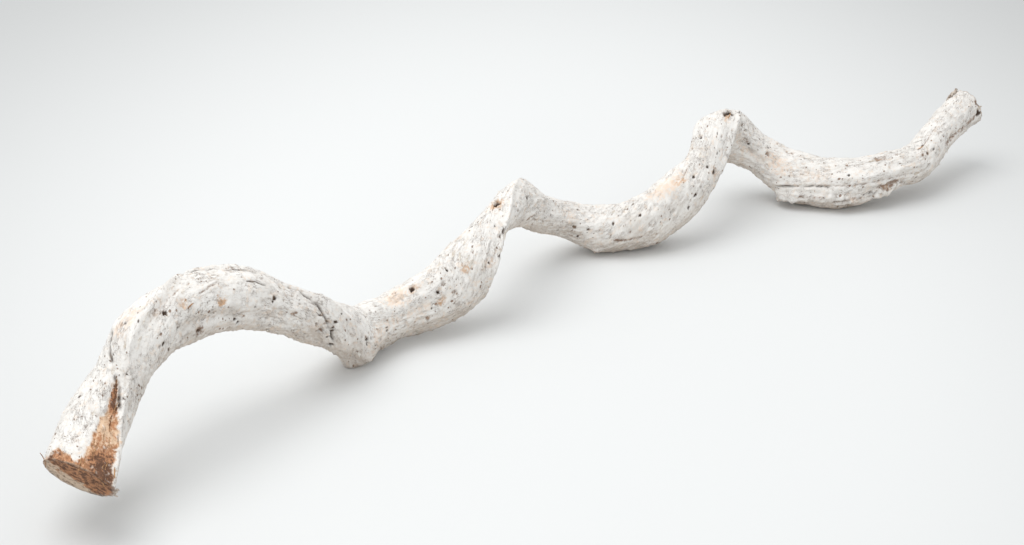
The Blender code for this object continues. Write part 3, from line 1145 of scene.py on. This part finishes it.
    def stains(self, bench: Bench, colour: Socket, streak: Socket, place: Socket) -> Socket:
        """Sap stains, rubbed-through bark and the dark insides of holes.

        Args:
            bench: lays the nodes.
            colour: what lies under them.
            streak: noise along the grain.
            place: Object coordinates.

        Returns:
            The colour over them.
        """
        patchy = bench.noise(place, 330, 4, 0.65)
        ragged = bench.span(patchy, 0.36, 0.62, -0.30, 0.28)
        broken = bench.reckon("ADD", ragged, bench.span(streak, 0.4, 0.6, -0.10, 0.10))
        for mask, tint in (("peach", self.peach), ("brown", self.bark), ("rust", self.rust)):
            reading = bench.reading(mask)
            breaks = bench.reckon("MULTIPLY", broken, bench.span(reading, 0.0, 0.5))
            edge = bench.reckon("ADD", reading, breaks)
            colour = bench.blend(bench.span(edge, 0.04, 1.05, 0.0, 0.90), colour, tint)
        return bench.blend(bench.span(bench.reading("dark"), 0.15, 0.75, 0.0, 0.97), colour, self.pit)

    def torn_wood(self, bench: Bench, colour: Socket, place: Socket, along: Socket) -> Socket:
        """The wedge of torn wood by the sawn end.

        Args:
            bench: lays the nodes.
            colour: the finish outside it.
            place: Object coordinates.
            along: the stretched grain vector.

        Returns:
            The colour over it.
        """
        fibre = bench.noise(along, 1300, 3, 0.65)
        tone = bench.reckon("ADD", bench.reading("tone"), bench.span(fibre, 0.3, 0.7, -0.12, 0.12))
        clumps = bench.noise(place, 420, 3, 0.6)
        tone = bench.reckon("ADD", tone, bench.span(clumps, 0.35, 0.65, -0.16, 0.16))
        wood = bench.blend(bench.span(tone, 0.12, 0.52), self.torn_dark, self.torn_rust)
        wood = bench.blend(bench.span(tone, 0.50, 0.95), wood, self.torn_tan)
        patchy = bench.noise(place, 190, 4, 0.6)
        edge = bench.reckon("ADD", bench.reading("torn"), bench.span(patchy, 0.3, 0.7, -0.38, 0.38))
        colour = bench.blend(bench.span(edge, 0.10, 0.55, 0.0, 0.45), colour, self.torn_tan)
        return bench.blend(bench.span(edge, 0.34, 0.86), colour, wood)

    def sawn_faces(self, bench: Bench, colour: Socket, place: Socket) -> Socket:
        """The end faces, with faint growth rings.

        Args:
            bench: lays the nodes.
            colour: the finish outside them.
            place: Object coordinates.

        Returns:
            The colour over them.
        """
        pith = bench.reading("pith")
        wander = bench.noise(place, 120, 4, 0.65)
        across = bench.weigh((pith, 1), (wander, 0.25))
        rings = bench.reckon("SINE", bench.reckon("MULTIPLY", across, self.ring_wave))
        weathered = bench.blend(bench.span(rings, -1, 1, 0.0, 0.4), self.sawn, self.torn_tan)
        blotch = bench.noise(place, 230, 4, 0.65)
        weathered = bench.blend(bench.span(blotch, 0.50, 0.66, 0.0, 0.8), weathered, self.bark)
        fresh = bench.blend(bench.span(blotch, 0.40, 0.60), self.torn_rust, self.torn_dark)
        share = bench.reckon("ADD", bench.reading("tone"), bench.span(wander, 0.3, 0.7, -0.25, 0.25))
        wood = bench.blend(bench.span(share, 0.30, 0.62), fresh, weathered)
        return bench.blend(bench.reading("sawn"), colour, wood)


@dataclass
class RootBody:
    """The root itself, one closed mesh."""

    bark: Bark
    finish: LimedWood
    cap_rings: int = 8
    cap_rough: float = 0.0012
    cap_darkens: Triple = (0.52, -0.43, 0.74)  # the way that the sawn face darkens
    cap_radius: float = 0.024
    cap_tone: float = 0.16
    rim_sawn: float = 0.6
    # the underside's darkening is painted shade together with a thinner coat
    under_shade_strength: float = 0.85  # how strongly the underside is shaded

    def build(self) -> bpy.types.Object:
        """Makes the mesh with its attributes and its finish.

        Returns:
            The finished piece.
        """
        points = self.bark.place_on_form()
        rings, sides = points.shape[:2]
        index = np.arange(rings * sides).reshape(rings, sides)
        faces = tube_faces(rings, sides).tolist()
        total, caps = rings * sides, []
        for ring, flip in ((0, False), (rings - 1, True)):
            made, cap_faces = self.cap(points[ring], index[ring], total, flip)
            caps.append(made)
            faces += cap_faces
            total += len(made)
        mesh = bpy.data.meshes.new("root_bark")
        mesh.from_pydata(np.vstack([points.reshape(-1, 3), *caps]).tolist(), [], faces)
        self.write_channels(mesh, points, caps)
        mesh.shade_smooth()
        mesh.update()
        piece = put_in_scene("root_bark", mesh)
        self.finish.dress(piece)
        return piece

    def cap(self, rim: np.ndarray, rim_index: np.ndarray, first: int, flip: bool) -> tuple[np.ndarray, list]:
        """Closes one end with a roughly sawn face.

        Args:
            rim: the last ring's points.
            rim_index: their vertex numbers.
            first: number of the cap's first own vertex.
            flip: turns the faces the other way.

        Returns:
            The new points and the faces.
        """
        middle = rim.mean(0)
        shares = np.linspace(1, 0, self.cap_rings + 1)[1:-1]
        grid = middle + (rim[None] - middle) * shares[:, None, None]
        normal = np.cross(rim[len(rim) // 4] - middle, rim[0] - middle)
        normal /= np.linalg.norm(normal)
        grid = grid + self.cap_rough * self.bark.noise.layered(grid * 300, 3)[..., None] * normal
        rows = [rim_index] + [first + k * len(rim) + np.arange(len(rim)) for k in range(len(shares))]
        faces = []
        for outer, inner in zip(rows, rows[1:]):
            quads = np.stack([outer, np.roll(outer, -1), np.roll(inner, -1), inner], axis=-1)
            faces += (quads[:, ::-1] if flip else quads).tolist()
        centre = first + len(shares) * len(rim)
        fan = [(int(a), int(b), centre) for a, b in zip(rows[-1], np.roll(rows[-1], -1))]
        faces += [face[::-1] for face in fan] if flip else fan
        return np.vstack([grid.reshape(-1, 3), middle]), faces

    def channels(self, points: np.ndarray) -> dict[str, np.ndarray]:
        """The values that the finish and the scraps read, for each point of the grid.

        Args:
            points: the placed surface.

        Returns:
            Name to values.
        """
        bark = self.bark
        rough = bark.noise.layered(points * 60 + 50, 3)
        # Painted shade: how much each point faces down, with some noise; partly shade, partly a thinner coat.
        under = ease_between(-0.40, 0.95, 0.30 * rough - facing_up(points))
        found = {"fine": bark.fine, "torn": bark.torn, "tone": bark.tone, "under": self.under_shade_strength * under}
        found |= {tint.value: np.clip(mask, 0, 1) for tint, mask in bark.masks.items()}
        off_floor = ease_between(0.001, 0.005, points[..., 2])
        patches = ease_between(0.0, 0.5, bark.noise.layered(points * 48 + 12, 2))
        found["scrap_places"] = patches * off_floor * (1 - bark.torn)
        found["fibre_places"] = bark.torn + 0.5 * found["rust"] * (1 - found["dark"])
        rim = np.zeros(points.shape[:2])
        rim[[0, -1]] = self.rim_sawn
        return found | {"sawn": rim, "pith": rim}

    def on_cap(self, name: str, cap: np.ndarray) -> np.ndarray:
        """One channel's values on a sawn face.

        Args:
            name: the channel.
            cap: the face's own points, from the rim to the pith.

        Returns:
            A value for each point.
        """
        if name == "tone":
            away = (cap - cap.mean(0)) @ np.array(self.cap_darkens)
            return np.clip(self.cap_tone - away / self.cap_radius, 0, 1)
        if name == "sawn":
            return np.ones(len(cap))
        return np.linspace(1 if name == "pith" else 0, 0, len(cap))

    def write_channels(self, mesh: bpy.types.Mesh, points: np.ndarray, caps: list[np.ndarray]) -> None:
        """Stores the channels as attributes, the caps' points included.

        Args:
            mesh: the mesh.
            points: the placed surface.
            caps: each cap's own points.
        """
        for name, values in self.channels(points).items():
            flat = np.concatenate([values.ravel(), *(self.on_cap(name, cap) for cap in caps)])
            attribute = mesh.attributes.new(name, "FLOAT", "POINT")
            attribute.data.foreach_set("value", flat.astype(np.float32))
        grain = np.vstack([self.bark.grain.reshape(-1, 3), *caps])
        upright = (np.tile((0.0, 0.0, 1.0), (len(cap), 1)) for cap in caps)
        strand = np.vstack([np.gradient(points, axis=0).reshape(-1, 3), *upright])
        for name, values in (("grain", grain), ("strand", strand)):
            attribute = mesh.attributes.new(name, "FLOAT_VECTOR", "POINT")
            attribute.data.foreach_set("vector", values.astype(np.float32).ravel())


@dataclass(frozen=True)
class ScrapFinish:
    """Whitewashed scraps of bark, or bare fibres, in two mixed colours."""

    name: str
    light: Colour
    shade: Colour
    gloss: float = 0.25
    relief: float = 0.0005
    relief_strength: float = 0.6

    def material(self) -> bpy.types.Material:
        """Makes the material.

        Returns:
            The material.
        """
        material, bench, shader = fresh_material(self.name)
        place = bench.add("ShaderNodeTexCoord").outputs["Object"]
        mottle, grit = bench.noise(place, 160, 3, 0.6), bench.noise(place, 900, 2, 0.6)
        both = bench.weigh((mottle, 0.6), (grit, 0.4))
        colour = bench.blend(bench.span(both, 0.40, 0.64), self.light, self.shade)
        bench.join(colour, shader.inputs["Base Color"])
        bench.join(bench.span(grit, 0.3, 0.7, 0.75, 0.95), shader.inputs["Roughness"])
        shader.inputs["Specular IOR Level"].default_value = self.gloss
        bench.join(bench.bumped(grit, self.relief, self.relief_strength), shader.inputs["Normal"])
        return material


@dataclass
class Scatter:
    """Many small curved slivers on the root, each lying along the strand."""

    name: str
    places: str  # the attribute that says how thickly they lie
    per_square_metre: float
    length: float
    width: float
    thick: float
    curl: float
    lean: float  # radians the slivers may stray from the strand
    sink: float  # how far they sit in the surface
    seed: int
    finish: ScrapFinish
    smallest: Triple = (0.45, 0.5, 0.7)  # length, width and thickness over the usual
    largest: Triple = (1.5, 1.4, 1.3)
    pointed: float = 3.2  # 4 would bring the ends to a point
    tip: float = 0.4  # how much of the lean also lifts an end

    def tree(self) -> bpy.types.NodeTree:
        """Builds the geometry tree.

        Returns:
            The tree, with named inputs.
        """
        tree = bpy.data.node_groups.new(self.name, "GeometryNodeTree")
        face = tree.interface
        face.new_socket("Geometry", in_out="INPUT", socket_type="NodeSocketGeometry")
        for label in ("Per square metre", "Length", "Width", "Thickness", "Curl", "Lean", "Sink"):
            face.new_socket(label, in_out="INPUT", socket_type="NodeSocketFloat")
        face.new_socket("Seed", in_out="INPUT", socket_type="NodeSocketInt")
        face.new_socket("Finish", in_out="INPUT", socket_type="NodeSocketMaterial")
        face.new_socket("Geometry", in_out="OUTPUT", socket_type="NodeSocketGeometry")
        bench = Bench(tree)
        given = bench.add("NodeGroupInput").outputs
        points = bench.add("GeometryNodeDistributePointsOnFaces", distribute_method="RANDOM")
        places = bench.add("GeometryNodeInputNamedAttribute", data_type="FLOAT")
        places.inputs["Name"].default_value = self.places
        density = bench.reckon("MULTIPLY", places.outputs["Attribute"], given["Per square metre"])
        bench.join(given["Geometry"], points.inputs["Mesh"])
        bench.join(density, points.inputs["Density"])
        bench.join(given["Seed"], points.inputs["Seed"])
        instances = bench.add("GeometryNodeInstanceOnPoints")
        bench.join(points.outputs["Points"], instances.inputs["Points"])
        bench.join(self.sliver(bench, given), instances.inputs["Instance"])
        bench.join(self.facing(bench, given, points), instances.inputs["Rotation"])
        size = bench.add("FunctionNodeRandomValue", data_type="FLOAT_VECTOR")
        size.inputs["Min"].default_value = self.smallest
        size.inputs["Max"].default_value = self.largest
        bench.join(size.outputs["Value"], instances.inputs["Scale"])
        real = bench.add("GeometryNodeRealizeInstances")
        bench.join(instances.outputs["Instances"], real.inputs["Geometry"])
        painted = bench.add("GeometryNodeSetMaterial")
        bench.join(real.outputs["Geometry"], painted.inputs["Geometry"])
        bench.join(given["Finish"], painted.inputs["Material"])
        bench.join(painted.outputs["Geometry"], bench.add("NodeGroupOutput").inputs["Geometry"])
        return tree

    def sliver(self, bench: Bench, given: bpy.types.bpy_prop_collection) -> Socket:
        """One closed, curled sliver with pointed ends.

        Args:
            bench: lays the nodes.
            given: the tree's inputs.

        Returns:
            Its geometry.
        """
        block = bench.add("GeometryNodeMeshCube")
        block.inputs["Vertices X"].default_value = 5
        size = bench.add("ShaderNodeCombineXYZ")
        for label, axis in (("Length", "X"), ("Width", "Y"), ("Thickness", "Z")):
            bench.join(given[label], size.inputs[axis])
        bench.join(size.outputs[0], block.inputs["Size"])
        apart = bench.add("ShaderNodeSeparateXYZ")
        bench.join(bench.add("GeometryNodeInputPosition").outputs[0], apart.inputs[0])
        share = bench.reckon("DIVIDE", apart.outputs["X"], given["Length"])
        square = bench.reckon("MULTIPLY", share, share)
        narrow = bench.reckon("SUBTRACT", 1.0, bench.reckon("MULTIPLY", square, self.pointed))
        raised = bench.reckon("MULTIPLY", square, given["Curl"])
        moved = bench.add("ShaderNodeCombineXYZ")
        bench.join(apart.outputs["X"], moved.inputs["X"])
        bench.join(bench.reckon("MULTIPLY", apart.outputs["Y"], narrow), moved.inputs["Y"])
        height = bench.reckon("SUBTRACT", bench.reckon("ADD", apart.outputs["Z"], raised), given["Sink"])
        bench.join(height, moved.inputs["Z"])
        shaped = bench.add("GeometryNodeSetPosition")
        bench.join(block.outputs["Mesh"], shaped.inputs["Geometry"])
        bench.join(moved.outputs[0], shaped.inputs["Position"])
        return shaped.outputs["Geometry"]

    def facing(
        self, bench: Bench, given: bpy.types.bpy_prop_collection, points: bpy.types.Node
    ) -> Socket:
        """Turns each sliver flat on the surface and along the strand, give or take its lean.

        Args:
            bench: lays the nodes.
            given: the tree's inputs.
            points: the node that lays the points.

        Returns:
            The rotation.
        """
        strand = bench.add("GeometryNodeInputNamedAttribute", data_type="FLOAT_VECTOR")
        strand.inputs["Name"].default_value = "strand"
        flat = bench.add("FunctionNodeAlignRotationToVector", axis="Z")
        bench.join(points.outputs["Normal"], flat.inputs["Vector"])
        along = bench.add("FunctionNodeAlignRotationToVector", axis="X", pivot_axis="Z")
        bench.join(flat.outputs[0], along.inputs["Rotation"])
        bench.join(strand.outputs["Attribute"], along.inputs["Vector"])
        stray = bench.add("FunctionNodeRandomValue", data_type="FLOAT")
        bench.join(bench.reckon("MULTIPLY", given["Lean"], -1.0), stray.inputs[2])
        bench.join(given["Lean"], stray.inputs[3])
        turn = bench.add("ShaderNodeCombineXYZ")
        bench.join(bench.reckon("MULTIPLY", stray.outputs[1], self.tip), turn.inputs["Y"])
        bench.join(stray.outputs[1], turn.inputs["Z"])
        spun = bench.add("FunctionNodeRotateRotation", rotation_space="LOCAL")
        bench.join(along.outputs[0], spun.inputs["Rotation"])
        bench.join(turn.outputs[0], spun.inputs["Rotate By"])
        return spun.outputs[0]

    def build(self, root: bpy.types.Object) -> bpy.types.Object:
        """Scatters the slivers and bakes them into one plain mesh.

        Args:
            root: the piece they lie on.

        Returns:
            The finished piece.
        """
        carrier = put_in_scene(self.name + "_carrier", root.data)
        modifier = carrier.modifiers.new(self.name, "NODES")
        tree = self.tree()
        modifier.node_group = tree
        values = {
            "Per square metre": self.per_square_metre,
            "Length": self.length,
            "Width": self.width,
            "Thickness": self.thick,
            "Curl": self.curl,
            "Lean": self.lean,
            "Sink": self.sink,
            "Seed": self.seed,
            "Finish": self.finish.material(),
        }
        for item in tree.interface.items_tree:
            if item.in_out == "INPUT" and item.name in values:
                modifier[item.identifier] = values[item.name]
        depsgraph = bpy.context.evaluated_depsgraph_get()
        mesh = bpy.data.meshes.new_from_object(carrier.evaluated_get(depsgraph))
        bpy.data.objects.remove(carrier)
        mesh.name = self.name
        return put_in_scene(self.name, mesh)


@dataclass
class Stick:
    """A short broken stick, tapered and rough, such as the twig at the thin end."""

    name: str
    path: tuple[Triple, ...]
    radii: tuple[float, ...]
    finish: ScrapFinish
    sides: int = 14
    rings: int = 22
    rough: float = 0.0007
    rough_grain: float = 420
    aside: Triple = (0.31, 0.87, 0.38)  # a direction that no stick follows
    seed: int = 5

    def build(self) -> bpy.types.Object:
        """Lofts the stick.

        Returns:
            The finished piece.
        """
        at = np.linspace(0, len(self.path) - 1, self.rings)
        centres = RootForm.spline(np.array(self.path), at)
        radii = np.interp(at, np.arange(len(self.radii)), self.radii)
        tangents = np.gradient(centres, axis=0)
        tangents /= np.linalg.norm(tangents, axis=1, keepdims=True)
        first = np.cross(tangents, self.aside)
        first /= np.linalg.norm(first, axis=1, keepdims=True)
        second = np.cross(tangents, first)
        angles = (np.arange(self.sides) * 2 * math.pi / self.sides)[None, :, None]
        ring = np.cos(angles) * first[:, None] + np.sin(angles) * second[:, None]
        points = centres[:, None] + radii[:, None, None] * ring
        lumps = Noise(self.seed).layered(points * self.rough_grain, 2)[..., None]
        points = points + self.rough * lumps * ring
        faces = tube_faces(self.rings, self.sides)[:, [0, 3, 2, 1]].tolist()
        rim = list(range(self.sides))
        faces += [rim[::-1], [(self.rings - 1) * self.sides + k for k in rim]]
        mesh = bpy.data.meshes.new(self.name)
        mesh.from_pydata(points.reshape(-1, 3).tolist(), [], faces)
        mesh.shade_smooth()
        mesh.materials.append(self.finish.material())
        return put_in_scene(self.name, mesh)


@dataclass
class Studio:
    """A pale floor, darker away from the middle by painted light falloff, one large soft light overhead and
    the camera.
    """

    floor_size: float = 24.0
    floor_colour: Colour = (0.712, 0.722, 0.719)
    floor_turn: float = -40.0
    floor_drop: float = 0.0002
    # painted shade: the floor's colour darkens away from the middle, standing in for the light's falloff
    painted_light_falloff: float = 0.70
    painted_light_falloff_shape: Triple = (1.4, 0.7, 1.0)
    painted_light_falloff_span: tuple[float, float] = (0.3, 1.2)
    light_size: float = 1.9
    light_place: Triple = (-0.6, 0.5, 2.1)
    light_power: float = 26.0
    fill: float = 0.92
    fill_colour: Colour = (0.985, 0.993, 1.0)
    camera_place: Triple = (-1.015, -1.139, 0.770)
    camera_target: Triple = (0.002, 0.072, -0.001)
    lens: float = 70.0
    sensor: float = 36.0
    sees: tuple[float, float] = (0.02, 100)  # nearest and farthest, in metres

    def build(self) -> bpy.types.Object:
        """Makes the floor, the lights and the camera.

        Returns:
            The floor.
        """
        half = self.floor_size / 2
        mesh = bpy.data.meshes.new("floor")
        corners = [(-half, -half, 0), (half, -half, 0), (half, half, 0), (-half, half, 0)]
        mesh.from_pydata(corners, [], [(0, 1, 2, 3)])
        floor = put_in_scene("floor", mesh)
        floor.location.z = -self.floor_drop
        floor.rotation_euler.z = self.floor_turn * DEG
        material, bench, shader = fresh_material("floor_paper")
        place = bench.add("ShaderNodeTexCoord").outputs["Object"]
        distance = bench.add("ShaderNodeVectorMath", operation="LENGTH")
        bench.join(bench.stretched(place, self.painted_light_falloff_shape), distance.inputs[0])
        # Painted light falloff: the floor colour darkens with distance from the middle.
        shade = tuple(self.painted_light_falloff * value for value in self.floor_colour)
        far = bench.span(distance.outputs["Value"], *self.painted_light_falloff_span)
        bench.join(bench.blend(far, self.floor_colour, shade), shader.inputs["Base Color"])
        shader.inputs["Roughness"].default_value = 0.9
        shader.inputs["Specular IOR Level"].default_value = 0.1
        mesh.materials.append(material)
        self.light()
        self.camera()
        bpy.context.scene.view_settings.view_transform = "Standard"
        return floor

    def light(self) -> None:
        """Hangs the soft light and fills the shadows."""
        lamp = bpy.data.lights.new("overhead", "AREA")
        lamp.shape = "DISK"
        lamp.size = self.light_size
        lamp.energy = self.light_power
        hung = put_in_scene("overhead", lamp)
        hung.location = self.light_place
        hung.rotation_euler = (-Vector(self.light_place)).to_track_quat("-Z", "Y").to_euler()
        world = bpy.data.worlds.new("studio")
        world.use_nodes = True
        surround = world.node_tree.nodes["Background"]
        surround.inputs["Color"].default_value = (*self.fill_colour, 1)
        surround.inputs["Strength"].default_value = self.fill
        bpy.context.scene.world = world

    def camera(self) -> None:
        """Sets up the camera."""
        eye = bpy.data.cameras.new("camera")
        eye.lens, eye.sensor_width = self.lens, self.sensor
        eye.clip_start, eye.clip_end = self.sees
        seen = put_in_scene("camera", eye)
        seen.location = self.camera_place
        aim = Vector(self.camera_target) - Vector(self.camera_place)
        seen.rotation_euler = aim.to_track_quat("-Z", "Y").to_euler()
        bpy.context.scene.camera = seen


def main() -> None:
    """Builds every piece in order and reports it."""
    logging.basicConfig(level=logging.INFO, format="%(name)s: %(message)s")
    bark = Bark(RootForm())
    root = RootBody(bark, LimedWood()).build()
    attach(root, BODY)
    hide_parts(CAD_NODE)
    LOG.info("%s: %d faces", root.name, len(root.data.polygons))
    whitewashed = ScrapFinish("limed_scraps", (0.80, 0.77, 0.72), (0.52, 0.45, 0.37))
    bare = ScrapFinish("bare_fibres", (0.50, 0.29, 0.15), (0.13, 0.06, 0.03))
    scatters = (
        Scatter(
            "bark_scraps", "scrap_places", 5200, 0.0075, 0.0022, 0.0004, 0.0022, 0.35, 0.0001, 3, whitewashed
        ),
        Scatter("torn_fibres", "fibre_places", 9000, 0.0100, 0.0008, 0.0004, 0.0040, 0.20, 0.0001, 8, bare),
    )
    twig_bark = ScrapFinish("twig_bark", (0.60, 0.53, 0.46), (0.10, 0.065, 0.045))
    twig_path = bark.stick_out(29.83, 128, TWIG_STEPS)
    splinter_path = bark.stick_out(0.0, -12, SPLINTER_STEPS)
    sticks = (
        Stick("twig", twig_path, (0.0026, 0.0022, 0.0024, 0.0017, 0.0012), twig_bark),
        Stick("splinter", splinter_path, (0.0013, 0.0010, 0.0006, 0.0003), twig_bark, seed=12),
    )
    for piece in [scatter.build(root) for scatter in scatters] + [stick.build() for stick in sticks]:
        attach(piece, BODY)
        LOG.info("%s: %d faces", piece.name, len(piece.data.polygons))
    floor = Studio().build()
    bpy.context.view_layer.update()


if __name__ == "__main__":
    main()
